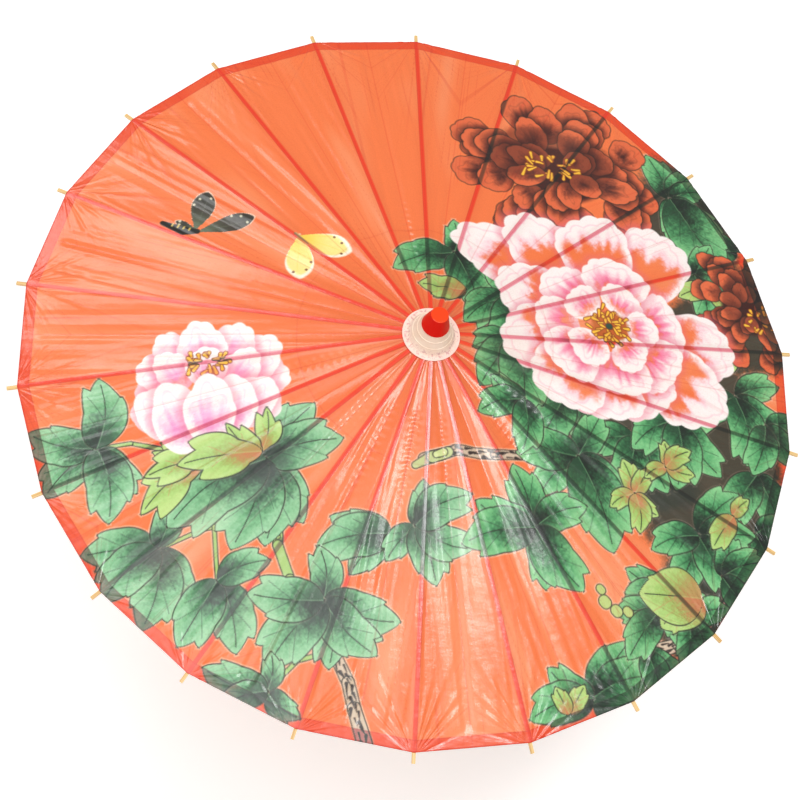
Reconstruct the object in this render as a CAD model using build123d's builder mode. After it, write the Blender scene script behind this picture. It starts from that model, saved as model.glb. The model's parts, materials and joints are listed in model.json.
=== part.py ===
"""Oil paper umbrella with a bamboo frame, open.

+Z runs up the shaft. The origin is on the shaft's axis, where the straight part of the grip begins.
Every rib turns on the wire of the top hub, every stretcher turns on its rib, and the stretchers' inner
ends turn on the wire of the runner, which slides on the shaft. Rib and stretcher mirror each other,
so the runner's pivots stay right below the hub's pivots at both ends of the travel.
"""

import os
from math import cos, degrees, radians, sin, tan

from build123d import *

# driving dimensions, in millimetres and degrees
RIB_COUNT = 22
TIP_RADIUS = 410.0  # rib tips from the shaft's axis, open
OPEN_SLOPE = 12.0  # ribs below level, open
PIVOT_RADIUS = 16.0  # circle of the hub's and the runner's wire
JOINT_REACH = 118.0  # from the hub's pivot along the rib to its stretcher's joint
HUB_HEIGHT = 506.0  # of the hub's pivots
SHAFT_RADIUS = 5.5
GRIP_RADIUS = 9.0
GRIP_LENGTH = 95.0  # straight part of the grip

# clearances
SHAFT_FIT = 0.05  # round the shaft, in the pieces fixed to it
RUNNER_FIT = 0.1  # round the shaft, in the runner
SLOT_FIT = 0.15  # each side of a tongue in its slot
COVER_GAP = 0.3  # from the ribs' top faces to the cover

# ribs and stretchers
RIB_WIDTH = 4.0
RIB_TIP_WIDTH = 3.4
RIB_TONGUE = 1.8
RIB_TONGUE_LENGTH = 12.0
RIB_TAPER_END = 60.0  # where the rib reaches its full width
RIB_TOP = 3.0  # top face above the line through the pivots
RIB_END_RADIUS = 3.0
RIB_TIP_BOTTOM = 0.6  # bottom face above the line through the pivots, at the tip
STRETCHER_WIDTH = 3.2
STRETCHER_DEPTH = 4.0
OUTER_TONGUE = 1.6  # in the rib's slot
OUTER_TONGUE_LENGTH = 31.0
INNER_TONGUE = 1.8  # in the runner's slot
INNER_TONGUE_LENGTH = 30.0
TONGUE_TAPER = 6.0
OUTER_END_RADIUS = 1.8
INNER_END_RADIUS = 2.2
RIB_SLOT_ROOF = 1.9  # ceiling of the rib's slot above the joint
RIB_SLOT_INWARD = 13.0  # from the joint towards the hub
RIB_SLOT_LENGTH = 45.0

# wires and threads
WIRE_RADIUS = 0.6
WIRE_HOLE_RADIUS = 0.7
WIRE_GROOVE = 1.4
THREAD_RADIUS = 0.35
THREAD_HOLE_RADIUS = 0.6
RIM_THREAD_RADIUS = 0.4
RIM_THREAD_CIRCLE = 396.0
RIM_NOTCH_LENGTH = 2.0
RIM_NOTCH_DEPTH = 1.0

# hub and runner
HUB_RADIUS = 20.5
SLOT_BOTTOM_RADIUS = 11.5
HUB_BELOW = 9.0  # bottom face below the pivots
HUB_CEILING = 3.4  # ceiling of the slots above the pivots
HUB_SHOULDER = 4.6  # top of the wide part above the pivots
HUB_NECK_RADIUS = 14.0
HUB_TOP_RADIUS = 12.0
HUB_TOP = 20.5
HUB_PIN_RADIUS = 0.9
HUB_PIN_HEIGHT = 12.0
HUB_PIN_LENGTH = 25.0
RUNNER_RADIUS = 19.5
RUNNER_HALF_HEIGHT = 6.0  # of its toothed ring
RUNNER_NECK_RADIUS = 10.0
RUNNER_FLANGE_RADIUS = 13.0
RUNNER_FLANGE_HEIGHT = 5.0
RUNNER_BELOW = 45.0  # bottom face below the pivots
EDGE = 0.8  # rounding of turned edges

# cover, cap and finial
COVER_THICKNESS = 0.5
COVER_RADIUS = 400.5  # at the ribs
COVER_HOLE_RADIUS = 22.0
CAP_RIM_RADIUS = 29.0
CAP_THICKNESS = 0.9
CAP_GAP = 0.2  # from the cover to the cap's rim
CAP_TOP = 22.0  # underside of the cap's top above the hub's pivots
CAP_BELL_RADIUS = 23.2  # inside, where the brim meets the bell
CAP_WAIST_RADIUS = 18.4  # inside, halfway up the bell
CAP_NECK_RADIUS = 13.4  # inside, at the top of the bell
CAP_RIDGE = 0.45
CAP_RIDGE_PLACES = (0.0, 0.35, 0.7)  # shares of the way up the bell
FINIAL_BASE_RADIUS = 14.3
FINIAL_TOP_RADIUS = 8.7
FINIAL_HEIGHT = 22.0
SHAFT_IN_FINIAL = 12.0

# catch
CATCH_WIRE_RADIUS = 0.6
CATCH_FOOT = 40.0  # its pivot below the catch's top
CATCH_REACH = 8.6  # its nose from the shaft's axis
CATCH_LEG = 2.2  # its leg from the shaft's axis
CATCH_GAP = 0.5  # below the runner
CATCH_SLOT = 1.6
CATCH_SLOT_DEPTH = 3.2  # past the shaft's axis
CATCH_FOOT_LENGTH = 4.6
CATCH_RAMP_START = 30.0
CATCH_RAMP_END = 6.0
CATCH_BEND = 1.5
CATCH_FOOT_BEND = 0.7
CATCH_HOLE_RADIUS = 0.65

# grip
GRIP_DOME = 6.0
GRIP_BEAD_RADIUS = 8.7
GRIP_NECK_RADIUS = 7.4
GRIP_NECK_LENGTH = 9.0
GRIP_FLOOR = 3.0  # the shaft's foot above the origin

rib_reach = (TIP_RADIUS - PIVOT_RADIUS) / cos(radians(OPEN_SLOPE))
joint_radius = PIVOT_RADIUS + JOINT_REACH * cos(radians(OPEN_SLOPE))
joint_height = HUB_HEIGHT - JOINT_REACH * sin(radians(OPEN_SLOPE))
runner_height = HUB_HEIGHT - 2 * JOINT_REACH * sin(radians(OPEN_SLOPE))
runner_bottom = runner_height - RUNNER_BELOW
catch_top = runner_bottom - CATCH_GAP
finial_base = HUB_HEIGHT + CAP_TOP + CAP_THICKNESS + CAP_GAP
azimuths = [360.0 * n / RIB_COUNT for n in range(RIB_COUNT)]

os.makedirs("parts", exist_ok=True)


def write(piece, name):
    """Labels a finished piece and writes it under that name."""
    piece.part.label = name
    export_step(piece.part, f"parts/{name}.step")


def radial(azimuth):
    """The upright plane through the shaft's axis at an azimuth: X runs outward, Y up."""
    outward = Vector(1, 0, 0).rotate(Axis.Z, azimuth)
    return Plane(origin=(0, 0, 0), x_dir=outward, z_dir=Vector(0, -1, 0).rotate(Axis.Z, azimuth))


def arm_side(azimuth, height, slope):
    """Side view of an arm whose pivot is on a wire circle: X runs along it, Y away from its underside."""
    upright = radial(azimuth)
    along = upright.x_dir * cos(radians(slope)) - upright.y_dir * sin(radians(slope))
    pivot = upright.x_dir * PIVOT_RADIUS + upright.y_dir * height
    return Plane(origin=pivot, x_dir=along, z_dir=upright.z_dir)


def arm_top(side):
    """The same arm seen from above: X runs along it, Y across it."""
    return Plane(origin=side.origin, x_dir=side.x_dir, z_dir=side.y_dir)


def across(stations):
    """A closed outline, the same on both sides of its centre line, from (distance, width) stations."""
    one_side = [(x, width / 2) for x, width in stations]
    return one_side + [(x, -y) for x, y in reversed(one_side)]


def cover_top(radius):
    """Height of the cover's outer face over a rib."""
    above_rib = (RIB_TOP + COVER_GAP + COVER_THICKNESS) / cos(radians(OPEN_SLOPE))
    return HUB_HEIGHT - (radius - PIVOT_RADIUS) * tan(radians(OPEN_SLOPE)) + above_rib


# shaft: a dowel with a slot for the catch and a cross hole for the catch's foot
with BuildPart() as shaft:
    with BuildSketch(Plane.XY.offset(GRIP_FLOOR)):
        Circle(SHAFT_RADIUS)
    extrude(amount=finial_base + SHAFT_IN_FINIAL - GRIP_FLOOR)
    chamfer(shaft.edges().group_by(Axis.Z)[-1], length=EDGE)
    with BuildSketch(Plane.XZ):
        with Locations((SHAFT_RADIUS - CATCH_SLOT_DEPTH, catch_top - CATCH_FOOT / 2)):
            Rectangle(2 * SHAFT_RADIUS, CATCH_FOOT + 4 * CATCH_BEND)
    extrude(amount=CATCH_SLOT / 2, both=True, mode=Mode.SUBTRACT)
    with BuildSketch(Plane.XZ):
        with Locations((CATCH_LEG, catch_top - CATCH_FOOT)):
            Circle(CATCH_HOLE_RADIUS)
    extrude(amount=-SHAFT_RADIUS, mode=Mode.SUBTRACT)
    with BuildSketch(Plane.XZ):
        with Locations((0, HUB_HEIGHT + HUB_PIN_HEIGHT)):
            Circle(HUB_PIN_RADIUS + SHAFT_FIT)
    extrude(amount=SHAFT_RADIUS, both=True, mode=Mode.SUBTRACT)
write(shaft, "shaft")

# handle: a turned grip glued over the shaft's foot, with a bead and a neck above its straight part
with BuildPart() as handle:
    with BuildSketch(Plane.XZ):
        with BuildLine():
            Polyline(
                (0, -GRIP_DOME),
                (GRIP_RADIUS, -GRIP_DOME),
                (GRIP_RADIUS, GRIP_LENGTH),
                (GRIP_RADIUS - EDGE, GRIP_LENGTH + EDGE),
                (GRIP_BEAD_RADIUS, GRIP_LENGTH + 2 * EDGE),
                (GRIP_BEAD_RADIUS, GRIP_LENGTH + 5 * EDGE),
                (GRIP_NECK_RADIUS, GRIP_LENGTH + 6 * EDGE),
                (GRIP_NECK_RADIUS, GRIP_LENGTH + GRIP_NECK_LENGTH),
                (0, GRIP_LENGTH + GRIP_NECK_LENGTH),
                close=True,
            )
        make_face()
    revolve(axis=Axis.Z)
    fillet(handle.edges().group_by(Axis.Z)[0], radius=GRIP_DOME)
    fillet(handle.edges().group_by(Axis.Z)[-1], radius=EDGE)
    with BuildSketch(Plane.XY.offset(GRIP_FLOOR)):
        Circle(SHAFT_RADIUS + SHAFT_FIT)
    extrude(amount=GRIP_LENGTH + GRIP_NECK_LENGTH, mode=Mode.SUBTRACT)
write(handle, "handle")

# top hub: slots for the ribs, a groove for their wire and a neck that carries the cap
with BuildPart() as top_hub:
    with BuildSketch(Plane.XZ):
        with BuildLine():
            Polyline(
                (0, HUB_HEIGHT - HUB_BELOW),
                (HUB_RADIUS - EDGE, HUB_HEIGHT - HUB_BELOW),
                (HUB_RADIUS, HUB_HEIGHT - HUB_BELOW + EDGE),
                (HUB_RADIUS, HUB_HEIGHT + HUB_SHOULDER - EDGE),
                (HUB_RADIUS - EDGE, HUB_HEIGHT + HUB_SHOULDER),
                (HUB_NECK_RADIUS, HUB_HEIGHT + HUB_SHOULDER),
                (HUB_TOP_RADIUS, HUB_HEIGHT + HUB_TOP),
                (0, HUB_HEIGHT + HUB_TOP),
                close=True,
            )
        make_face()
    revolve(axis=Axis.Z)
    with BuildSketch(Plane.XY.offset(HUB_HEIGHT - HUB_BELOW)):
        with PolarLocations((SLOT_BOTTOM_RADIUS + HUB_RADIUS + EDGE) / 2, RIB_COUNT):
            Rectangle(HUB_RADIUS + EDGE - SLOT_BOTTOM_RADIUS, RIB_TONGUE + 2 * SLOT_FIT)
    extrude(amount=HUB_BELOW + HUB_CEILING, mode=Mode.SUBTRACT)
    with BuildSketch(Plane.XY.offset(HUB_HEIGHT - WIRE_GROOVE / 2)):
        Circle(HUB_RADIUS + EDGE)
        Circle(PIVOT_RADIUS - WIRE_GROOVE / 2, mode=Mode.SUBTRACT)
    extrude(amount=WIRE_GROOVE, mode=Mode.SUBTRACT)
    with BuildSketch(Plane.XY.offset(HUB_HEIGHT - HUB_BELOW)):
        Circle(SHAFT_RADIUS + SHAFT_FIT)
    extrude(amount=HUB_BELOW + HUB_TOP, mode=Mode.SUBTRACT)
    with BuildSketch(Plane.XZ):
        with Locations((0, HUB_HEIGHT + HUB_PIN_HEIGHT)):
            Circle(HUB_PIN_RADIUS + SHAFT_FIT)
    extrude(amount=HUB_RADIUS, both=True, mode=Mode.SUBTRACT)
write(top_hub, "top_hub")

# hub wire: a closed ring through the holes of all the ribs
with BuildPart() as hub_wire:
    with BuildSketch(Plane.XZ):
        with Locations((PIVOT_RADIUS, HUB_HEIGHT)):
            Circle(WIRE_RADIUS)
    revolve(axis=Axis.Z)
write(hub_wire, "hub_wire")

# hub pin: a nail through the hub and the shaft
with BuildPart() as hub_pin:
    with BuildSketch(Plane.XZ):
        with Locations((0, HUB_HEIGHT + HUB_PIN_HEIGHT)):
            Circle(HUB_PIN_RADIUS)
    extrude(amount=HUB_PIN_LENGTH / 2, both=True)
write(hub_pin, "hub_pin")

# runner: a toothed ring on a waisted sleeve. Its slots run right through, up and down
with BuildPart() as runner:
    with BuildSketch(Plane.XZ):
        with BuildLine():
            Polyline(
                (0, runner_height + RUNNER_HALF_HEIGHT),
                (RUNNER_RADIUS - EDGE, runner_height + RUNNER_HALF_HEIGHT),
                (RUNNER_RADIUS, runner_height + RUNNER_HALF_HEIGHT - EDGE),
                (RUNNER_RADIUS, runner_height - RUNNER_HALF_HEIGHT + EDGE),
                (RUNNER_RADIUS - EDGE, runner_height - RUNNER_HALF_HEIGHT),
                (SLOT_BOTTOM_RADIUS, runner_height - RUNNER_HALF_HEIGHT),
                (RUNNER_NECK_RADIUS, runner_height - 2 * RUNNER_HALF_HEIGHT),
                (RUNNER_NECK_RADIUS, runner_bottom + 2 * RUNNER_FLANGE_HEIGHT),
                (RUNNER_FLANGE_RADIUS, runner_bottom + RUNNER_FLANGE_HEIGHT),
                (RUNNER_FLANGE_RADIUS, runner_bottom + EDGE),
                (RUNNER_FLANGE_RADIUS - EDGE, runner_bottom),
                (0, runner_bottom),
                close=True,
            )
        make_face()
    revolve(axis=Axis.Z)
    with BuildSketch(Plane.XY.offset(runner_height - RUNNER_HALF_HEIGHT)):
        with PolarLocations((SLOT_BOTTOM_RADIUS + RUNNER_RADIUS + EDGE) / 2, RIB_COUNT):
            Rectangle(RUNNER_RADIUS + EDGE - SLOT_BOTTOM_RADIUS, INNER_TONGUE + 2 * SLOT_FIT)
    extrude(amount=2 * RUNNER_HALF_HEIGHT, mode=Mode.SUBTRACT)
    with BuildSketch(Plane.XY.offset(runner_height - WIRE_GROOVE / 2)):
        Circle(RUNNER_RADIUS + EDGE)
        Circle(PIVOT_RADIUS - WIRE_GROOVE / 2, mode=Mode.SUBTRACT)
    extrude(amount=WIRE_GROOVE, mode=Mode.SUBTRACT)
    with BuildSketch(Plane.XY.offset(runner_bottom)):
        Circle(SHAFT_RADIUS + RUNNER_FIT)
    extrude(amount=RUNNER_BELOW + RUNNER_HALF_HEIGHT, mode=Mode.SUBTRACT)
write(runner, "runner")

# runner wire: only its lengths inside the teeth, because the pivots at the runner are left open
slot_angle = degrees((INNER_TONGUE + 2 * SLOT_FIT) / PIVOT_RADIUS)
tooth_angle = 360.0 / RIB_COUNT - slot_angle
with BuildPart() as runner_wire:
    for azimuth in azimuths:
        with BuildSketch(radial(azimuth + slot_angle / 2)):
            with Locations((PIVOT_RADIUS, runner_height)):
                Circle(WIRE_RADIUS)
        revolve(axis=Axis.Z, revolution_arc=tooth_angle)
write(runner_wire, "runner_wire")

# catch: a bent spring wire whose foot turns in the shaft and whose nose holds the runner up
with BuildPart() as catch_spring:
    with BuildLine() as catch_line:
        FilletPolyline(
            (CATCH_LEG, CATCH_FOOT_LENGTH, catch_top - CATCH_FOOT),
            (CATCH_LEG, 0, catch_top - CATCH_FOOT),
            (CATCH_LEG, 0, catch_top - CATCH_RAMP_START),
            (CATCH_REACH, 0, catch_top - CATCH_RAMP_END),
            (CATCH_REACH, 0, catch_top - CATCH_WIRE_RADIUS),
            (CATCH_LEG, 0, catch_top - CATCH_WIRE_RADIUS),
            radius=[CATCH_FOOT_BEND, CATCH_BEND, CATCH_BEND, CATCH_BEND],
        )
    with BuildSketch(Plane.XZ.offset(-CATCH_FOOT_LENGTH)):
        with Locations((CATCH_LEG, catch_top - CATCH_FOOT)):
            Circle(CATCH_WIRE_RADIUS)
    sweep(path=catch_line.wires()[0])
write(catch_spring, "catch_spring")

# crown cap: a thin bell over the hub's neck, with ridges round it, whose brim lies on the cover
brim_rise = Vector(0, CAP_GAP)
brim_edge = Vector(CAP_RIM_RADIUS, cover_top(CAP_RIM_RADIUS)) + brim_rise
brim_root = Vector(CAP_BELL_RADIUS, cover_top(CAP_BELL_RADIUS)) + brim_rise
bell_waist = Vector(CAP_WAIST_RADIUS, HUB_HEIGHT + CAP_TOP / 2)
bell_top = Vector(CAP_NECK_RADIUS, HUB_HEIGHT + CAP_TOP)
skin = Vector(CAP_THICKNESS, CAP_THICKNESS / 2)
with BuildPart() as crown_cap:
    with BuildSketch(Plane.XZ):
        with BuildLine():
            Line(brim_edge, brim_root)
            inside = ThreePointArc(brim_root, bell_waist, bell_top)
            Polyline(
                bell_top,
                (SHAFT_RADIUS + RUNNER_FIT, HUB_HEIGHT + CAP_TOP),
                (SHAFT_RADIUS + RUNNER_FIT, HUB_HEIGHT + CAP_TOP + CAP_THICKNESS),
                (CAP_NECK_RADIUS + CAP_THICKNESS, HUB_HEIGHT + CAP_TOP + CAP_THICKNESS),
                bell_top + skin,
            )
            ThreePointArc(bell_top + skin, bell_waist + skin, brim_root + skin)
            Polyline(brim_root + skin, brim_edge + Vector(0, CAP_THICKNESS), brim_edge)
        make_face()
        for share in CAP_RIDGE_PLACES:
            with Locations(inside @ share + skin):
                Circle(CAP_RIDGE)
    revolve(axis=Axis.Z)
write(crown_cap, "crown_cap")

# finial: a turned knob on the shaft's top end
with BuildPart() as finial:
    with BuildSketch(Plane.XZ):
        with BuildLine():
            Polyline(
                (0, finial_base),
                (FINIAL_BASE_RADIUS, finial_base),
                (FINIAL_TOP_RADIUS, finial_base + FINIAL_HEIGHT),
                (0, finial_base + FINIAL_HEIGHT),
                close=True,
            )
        make_face()
    revolve(axis=Axis.Z)
    fillet(finial.edges().filter_by(GeomType.CIRCLE), radius=EDGE)
    with BuildSketch(Plane.XY.offset(finial_base)):
        Circle(SHAFT_RADIUS + SHAFT_FIT)
    extrude(amount=SHAFT_IN_FINIAL + 2 * SHAFT_FIT, mode=Mode.SUBTRACT)
write(finial, "finial")

# cover: a thin pyramid with one facet between each pair of ribs
cover_wall = COVER_THICKNESS / cos(radians(OPEN_SLOPE))
with BuildPart() as cover:
    for drop, mode in ((0.0, Mode.ADD), (cover_wall, Mode.SUBTRACT)):
        with BuildSketch(Plane.XY.offset(cover_top(COVER_RADIUS) - drop)) as rim:
            RegularPolygon(COVER_RADIUS, RIB_COUNT)
        with BuildSketch(Plane.XY.offset(cover_top(COVER_HOLE_RADIUS) - drop)) as hole:
            RegularPolygon(COVER_HOLE_RADIUS, RIB_COUNT)
        if mode is Mode.ADD:
            extrude(rim.sketch, amount=-cover_wall)
        loft([rim.sketch, hole.sketch], ruled=True, mode=mode)
    extrude(hole.sketch, amount=2 * cover_wall, mode=Mode.SUBTRACT)
write(cover, "cover")

# joint thread: one ring through all the joints between ribs and stretchers
with BuildPart() as joint_thread:
    with BuildSketch(Plane.XZ):
        with Locations((joint_radius, joint_height)):
            Circle(THREAD_RADIUS)
    revolve(axis=Axis.Z)
write(joint_thread, "joint_thread")

# rim thread: straight from rib to rib, in notches across their top faces
rim_thread_above = RIB_TOP - RIM_NOTCH_DEPTH / 2
rim_slope = radians(OPEN_SLOPE)
rim_reach = (RIM_THREAD_CIRCLE - PIVOT_RADIUS - rim_thread_above * sin(rim_slope)) / cos(rim_slope)
rim_thread_height = HUB_HEIGHT - rim_reach * sin(rim_slope) + rim_thread_above * cos(rim_slope)
on_upright = (RIM_THREAD_CIRCLE, rim_thread_height)
corners = [radial(azimuth).from_local_coords(on_upright) for azimuth in azimuths]
with BuildPart() as rim_thread:
    with BuildLine() as rim_line:
        Polyline(*corners, close=True)
    with BuildSketch(Plane(origin=corners[0], z_dir=corners[1] - corners[0])):
        Circle(RIM_THREAD_RADIUS)
    sweep(path=rim_line.wires()[0], transition=Transition.RIGHT)
write(rim_thread, "rim_thread")

# ribs: a thin tongue in the hub, a slot for the stretcher, a notch for the rim thread
for number, azimuth in enumerate(azimuths, 1):
    side = arm_side(azimuth, HUB_HEIGHT, OPEN_SLOPE)
    with BuildPart() as rib:
        with BuildSketch(side):
            with BuildLine():
                ThreePointArc((0, RIB_END_RADIUS), (-RIB_END_RADIUS, 0), (0, -RIB_END_RADIUS))
                Polyline(
                    (0, -RIB_END_RADIUS),
                    (JOINT_REACH, -RIB_END_RADIUS),
                    (rib_reach, RIB_TIP_BOTTOM),
                    (rib_reach, RIB_TOP),
                    (0, RIB_TOP),
                )
            make_face()
        extrude(amount=RIB_WIDTH / 2, both=True)
        with BuildSketch(arm_top(side)):
            Polygon(
                *across(
                    [
                        (-2 * RIB_END_RADIUS, RIB_TONGUE),
                        (RIB_TONGUE_LENGTH, RIB_TONGUE),
                        (RIB_TAPER_END, RIB_WIDTH),
                        (JOINT_REACH + RIB_SLOT_LENGTH, RIB_WIDTH),
                        (rib_reach, RIB_TIP_WIDTH),
                    ]
                ),
                align=None,
            )
        extrude(amount=2 * RIB_TOP, both=True, mode=Mode.INTERSECT)
        with BuildSketch(side):
            with Locations((JOINT_REACH - RIB_SLOT_INWARD, RIB_SLOT_ROOF)):
                Rectangle(RIB_SLOT_LENGTH, 2 * RIB_TOP, align=(Align.MIN, Align.MAX))
        extrude(amount=OUTER_TONGUE / 2 + SLOT_FIT, both=True, mode=Mode.SUBTRACT)
        with BuildSketch(side):
            Circle(WIRE_HOLE_RADIUS)
            with Locations((JOINT_REACH, 0)):
                Circle(THREAD_HOLE_RADIUS)
            with Locations((rim_reach, RIB_TOP)):
                Rectangle(RIM_NOTCH_LENGTH, 2 * RIM_NOTCH_DEPTH)
        extrude(amount=RIB_WIDTH, both=True, mode=Mode.SUBTRACT)
    write(rib, f"rib_{number:02d}")

# stretchers: from the runner's wire up to the joint in the rib
for number, azimuth in enumerate(azimuths, 1):
    side = arm_side(azimuth, runner_height, -OPEN_SLOPE)
    with BuildPart() as stretcher:
        with BuildSketch(side):
            with BuildLine():
                ThreePointArc((0, INNER_END_RADIUS), (-INNER_END_RADIUS, 0), (0, -INNER_END_RADIUS))
                Polyline(
                    (0, -INNER_END_RADIUS),
                    (INNER_TONGUE_LENGTH, -STRETCHER_DEPTH / 2),
                    (JOINT_REACH - OUTER_TONGUE_LENGTH, -STRETCHER_DEPTH / 2),
                    (JOINT_REACH, -OUTER_END_RADIUS),
                )
                ThreePointArc(
                    (JOINT_REACH, -OUTER_END_RADIUS),
                    (JOINT_REACH + OUTER_END_RADIUS, 0),
                    (JOINT_REACH, OUTER_END_RADIUS),
                )
                Polyline(
                    (JOINT_REACH, OUTER_END_RADIUS),
                    (JOINT_REACH - OUTER_TONGUE_LENGTH, STRETCHER_DEPTH / 2),
                    (INNER_TONGUE_LENGTH, STRETCHER_DEPTH / 2),
                    (0, INNER_END_RADIUS),
                )
            make_face()
        extrude(amount=STRETCHER_WIDTH / 2, both=True)
        with BuildSketch(arm_top(side)):
            Polygon(
                *across(
                    [
                        (-2 * INNER_END_RADIUS, INNER_TONGUE),
                        (INNER_TONGUE_LENGTH, INNER_TONGUE),
                        (INNER_TONGUE_LENGTH + TONGUE_TAPER, STRETCHER_WIDTH),
                        (JOINT_REACH - OUTER_TONGUE_LENGTH - TONGUE_TAPER, STRETCHER_WIDTH),
                        (JOINT_REACH - OUTER_TONGUE_LENGTH, OUTER_TONGUE),
                        (JOINT_REACH + 2 * OUTER_END_RADIUS, OUTER_TONGUE),
                    ]
                ),
                align=None,
            )
        extrude(amount=STRETCHER_DEPTH, both=True, mode=Mode.INTERSECT)
        with BuildSketch(side):
            Circle(WIRE_HOLE_RADIUS)
            with Locations((JOINT_REACH, 0)):
                Circle(THREAD_HOLE_RADIUS)
        extrude(amount=STRETCHER_WIDTH, both=True, mode=Mode.SUBTRACT)
    write(stretcher, f"stretcher_{number:02d}")
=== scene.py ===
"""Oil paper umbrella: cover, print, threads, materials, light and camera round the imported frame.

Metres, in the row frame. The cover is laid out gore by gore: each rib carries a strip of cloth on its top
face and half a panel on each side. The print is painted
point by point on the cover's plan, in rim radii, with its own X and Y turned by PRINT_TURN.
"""

import json
from math import atan, atan2, ceil, cos, hypot, pi, radians, sin

import bpy
import numpy as np
from mathutils import Matrix, Vector


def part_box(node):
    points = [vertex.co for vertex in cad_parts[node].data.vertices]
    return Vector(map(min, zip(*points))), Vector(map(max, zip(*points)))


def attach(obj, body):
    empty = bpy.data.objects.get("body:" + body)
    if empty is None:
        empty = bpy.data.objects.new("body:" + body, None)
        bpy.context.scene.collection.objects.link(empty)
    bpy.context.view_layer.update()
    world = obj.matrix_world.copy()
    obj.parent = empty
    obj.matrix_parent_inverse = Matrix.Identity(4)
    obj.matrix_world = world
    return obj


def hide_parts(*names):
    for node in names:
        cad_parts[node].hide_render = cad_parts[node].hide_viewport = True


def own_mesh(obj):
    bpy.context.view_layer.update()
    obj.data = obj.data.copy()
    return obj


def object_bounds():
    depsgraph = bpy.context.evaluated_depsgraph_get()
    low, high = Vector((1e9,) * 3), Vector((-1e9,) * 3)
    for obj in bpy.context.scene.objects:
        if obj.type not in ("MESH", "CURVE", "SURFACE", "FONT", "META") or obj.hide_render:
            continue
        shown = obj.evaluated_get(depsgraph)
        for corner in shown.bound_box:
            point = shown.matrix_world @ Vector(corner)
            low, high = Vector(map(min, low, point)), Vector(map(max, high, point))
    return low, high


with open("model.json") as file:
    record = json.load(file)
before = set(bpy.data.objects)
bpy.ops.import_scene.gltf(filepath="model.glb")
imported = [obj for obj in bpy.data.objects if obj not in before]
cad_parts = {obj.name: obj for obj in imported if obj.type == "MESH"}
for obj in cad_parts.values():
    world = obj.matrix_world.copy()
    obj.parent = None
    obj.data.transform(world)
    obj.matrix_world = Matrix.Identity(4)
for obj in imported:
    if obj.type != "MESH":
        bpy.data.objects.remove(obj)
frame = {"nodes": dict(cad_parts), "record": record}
cad_low, cad_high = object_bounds()

# cover
CLOTH_STEP = 0.0009
CLOTH_BELOW_FACE = 0.00025  # from the CAD cover's outer face to the sheet
STRIP_HALF_WIDTH = 0.0020  # the cloth glued to a rib
HEM_WIDTH = 0.011
HEM_BELOW = 0.0005
HEM_ROLL = 0.0002
STRIP_COLUMNS = 6  # of faces over a rib
SAG = 0.0014  # of a panel between its ribs
CREASE_WIDTH = 0.005  # of the middle crease
CREASE_DEPTH = 0.0007
WRINKLE = 0.0006
LONG_FOLD = (0.0055, 0.12)  # width and length of the folds along a panel
CROSS_FOLD = (0.012, 0.025)
PUCKER_HEIGHT = 0.00025
PUCKER_STEP = 0.0085
FAN_HEIGHT = 0.0022  # of the folds that spread from a rib tip
FAN_REACH = 0.06
TIP_GAP = 0.004  # keeps angles at a rib tip from blowing up
STREAK = (0.018, 0.16)  # width and length of the pale streaks painted in as oil bloom and as sheen
PATCH = (0.05, 0.08)
EDGE_LINE = 0.0005  # half width of the painted shade line along a doubled edge
THREAD_START = 0.001  # beside the rib's middle
THREAD_SIDES = 8

# pole and ribs
POLE_JOINT = 0.17  # between the culm's joints on the shaft
RIB_JOINT = 0.145  # between the culm's joints on ribs and stretchers

# stage
FLOOR_HALF = 20.0
FLOOR_GAP = 0.001  # from the part down to the floor
FLOOR_GLOW = 0.35
WORLD_GLOW = 0.40

# camera and light
CAMERA_TARGET = (0.0, -0.028, 0.406)
CAMERA_DISTANCE = 2.19
CAMERA_AZIMUTH = -86.9
CAMERA_ELEVATION = 62.8
CAMERA_ROLL = 24.2
CAMERA_LENS = 96.4
CAMERA_SENSOR = 36.0

# colours, sRGB from 0 to 1
GROUND = (0.965, 0.487, 0.27)
GLUED_AND_SHADED = (0.985, 0.50, 0.33)  # bare cloth glued on a rib: the glue, with painted shade where the rib blocks the light from behind
HEMMED_AND_SHADED = (0.98, 0.64, 0.45)  # the same painted shade where the cloth is doubled at the rim
GLUED_AND_SHADED_PALE = (0.93, 0.58, 0.64)  # the same painted shade under pale paint
GLUED_AND_SHADED_DARK = (0.48, 0.58, 0.52)  # the same painted shade under dark paint
BLOOM_AND_SHEEN = (1.0, 0.80, 0.68)  # pale streaks painted in as oil bloom and as painted sheen
INK = (0.13, 0.14, 0.11)
HALO = (0.99, 0.90, 0.80)
MISTY = {"light": (0.66, 0.86, 0.68), "mid": (0.38, 0.66, 0.45), "dark": (0.20, 0.24, 0.22)}
DEEP = {"light": (0.56, 0.84, 0.58), "mid": (0.25, 0.58, 0.35), "dark": (0.11, 0.15, 0.12)}
YOUNG = {"light": (0.76, 0.88, 0.54), "mid": (0.58, 0.77, 0.38), "dark": (0.80, 0.50, 0.34)}
STEM = (0.66, 0.80, 0.46)
PALE_BARK = (0.84, 0.76, 0.66)
BARK = (0.22, 0.18, 0.16)
PETAL_WHITE = (1.0, 0.97, 0.96)
PETAL_PINK = (0.97, 0.40, 0.58)
PETAL_LILAC = (0.94, 0.58, 0.80)
SHADE_PINK = (0.90, 0.42, 0.52)
RUSSET = (0.90, 0.43, 0.26)
RUSSET_DARK = (0.25, 0.11, 0.09)
STAMEN = (0.99, 0.78, 0.24)
STAMEN_EDGE = (0.55, 0.24, 0.09)
PISTIL = (0.20, 0.30, 0.24)
WASH = (0.22, 0.24, 0.20)
BUD = (0.74, 0.84, 0.50)

PRINT_TURN = radians(27.0)

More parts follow.
